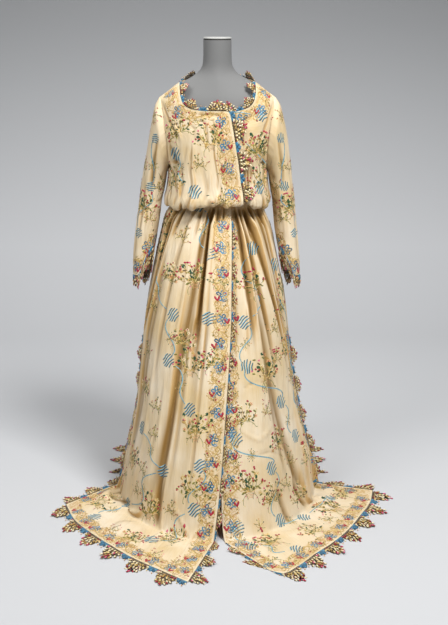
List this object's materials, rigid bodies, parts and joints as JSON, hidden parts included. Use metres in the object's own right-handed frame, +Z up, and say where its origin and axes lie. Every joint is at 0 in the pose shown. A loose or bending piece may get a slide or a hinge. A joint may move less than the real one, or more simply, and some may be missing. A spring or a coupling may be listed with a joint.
{
  "type": "entari robe on a limbless dress form",
  "caption": "Long trained silk entari with needle lace edging, open at neck, cuffs, front and side slits, worn by a limbless dress form that stands on a round base.",
  "frame": {"origin": "on the floor, at the middle of the round base's underside, straight below the form's neck", "axes": "+Z up; the robe faces -Y; the wearer's left is +X"},
  "size_m": [1.2089, 1.5339, 1.6],
  "materials": {
    "silk": "fine plain silk with a soft sheen, embroidered in coloured silk and gilt thread",
    "lace": "coloured silk needle lace",
    "tape": "woven cotton tape",
    "form": "smooth matt grey paint",
    "steel": "satin grey paint"
  },
  "bodies": {
    "root": {"front_right": "silk", "front_left": "silk", "back": "silk", "sleeve_right": "silk", "sleeve_left": "silk", "waist_tie": "tape", "lace_edge_right_bodice": "lace", "lace_edge_right_skirt": "lace", "lace_edge_left_skirt": "lace", "lace_hem_right": "lace", "lace_hem_left": "lace", "lace_hem_back": "lace", "lace_slit_right": "lace", "lace_slit_left": "lace", "lace_slit_back_right": "lace", "lace_slit_back_left": "lace", "lace_neck_right": "lace", "lace_neck_left": "lace", "lace_neck_back": "lace", "lace_cuff_right": "lace", "lace_cuff_left": "lace", "dress_form": "form", "neck_cap": "form", "stand_pole": "steel", "stand_base": "steel"}
  },
  "joints": []
}
